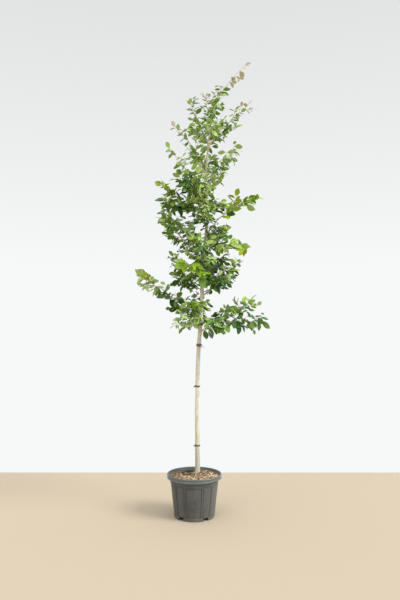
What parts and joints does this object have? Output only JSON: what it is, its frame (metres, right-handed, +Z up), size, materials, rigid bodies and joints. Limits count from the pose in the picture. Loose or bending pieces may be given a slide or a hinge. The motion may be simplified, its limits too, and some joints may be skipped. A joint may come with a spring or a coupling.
{
  "type": "persian ironwood tree in a nursery pot",
  "caption": "Young slim standard ironwood tree with a clear stem, a narrow open head of leafy boughs and a bent leading shoot, in a round rimmed nursery pot.",
  "frame": {"origin": "centre of the pot's flat underside, on the ground", "axes": "+Z up along the stem, +X to the right as seen from the front, +Y away from the front"},
  "size_m": [1.121, 0.8031, 3.7475],
  "materials": {
    "pot": "dark grey moulded plastic, matt, slightly dusty",
    "compost": "loose bark chips in browns, with a little moss",
    "bark": "smooth pale tan young bark with fine lenticels",
    "leaf": "broad green leaves, yellow-green and bronze on young shoots, slightly glossy",
    "band": "dark flexible binding, matt"
  },
  "bodies": {
    "root": {"band_high": "band", "band_low": "band", "band_middle": "band", "bough_arched_right": "bark", "bough_back_left": "bark", "bough_back_right": "bark", "bough_bright_left": "bark", "bough_curved_left": "bark", "bough_high_left": "bark", "bough_high_right": "bark", "bough_long_left": "bark", "bough_low_back": "bark", "bough_low_right": "bark", "bough_mid_back": "bark", "bough_mid_bright": "bark", "bough_mid_front": "bark", "bough_mid_right": "bark", "bough_top_left_arm": "bark", "bough_top_right_arm": "bark", "bough_upper_right": "bark", "compost": "compost", "foliage_arched_right": "leaf", "foliage_back_left": "leaf", "foliage_back_right": "leaf", "foliage_bright_left": "leaf", "foliage_curved_left": "leaf", "foliage_front_right": "leaf", "foliage_high_back": "leaf", "foliage_high_bend": "leaf", "foliage_high_front": "leaf", "foliage_high_left": "leaf", "foliage_high_right": "leaf", "foliage_leader": "leaf", "foliage_long_left": "leaf", "foliage_low_back": "leaf", "foliage_low_bright": "leaf", "foliage_low_front": "leaf", "foliage_low_left": "leaf", "foliage_low_right": "leaf", "foliage_mid_back": "leaf", "foliage_mid_bright": "leaf", "foliage_mid_front": "leaf", "foliage_mid_left": "leaf", "foliage_mid_right": "leaf", "foliage_short_right": "leaf", "foliage_sprig_right": "leaf", "foliage_top_back": "leaf", "foliage_top_front": "leaf", "foliage_top_left": "leaf", "foliage_top_left_arm": "leaf", "foliage_top_middle": "leaf", "foliage_top_right_arm": "leaf", "foliage_upper_back": "leaf", "foliage_upper_front": "leaf", "foliage_upper_left": "leaf", "foliage_upper_right": "leaf", "pot": "pot", "trunk": "bark"}
  },
  "joints": []
}
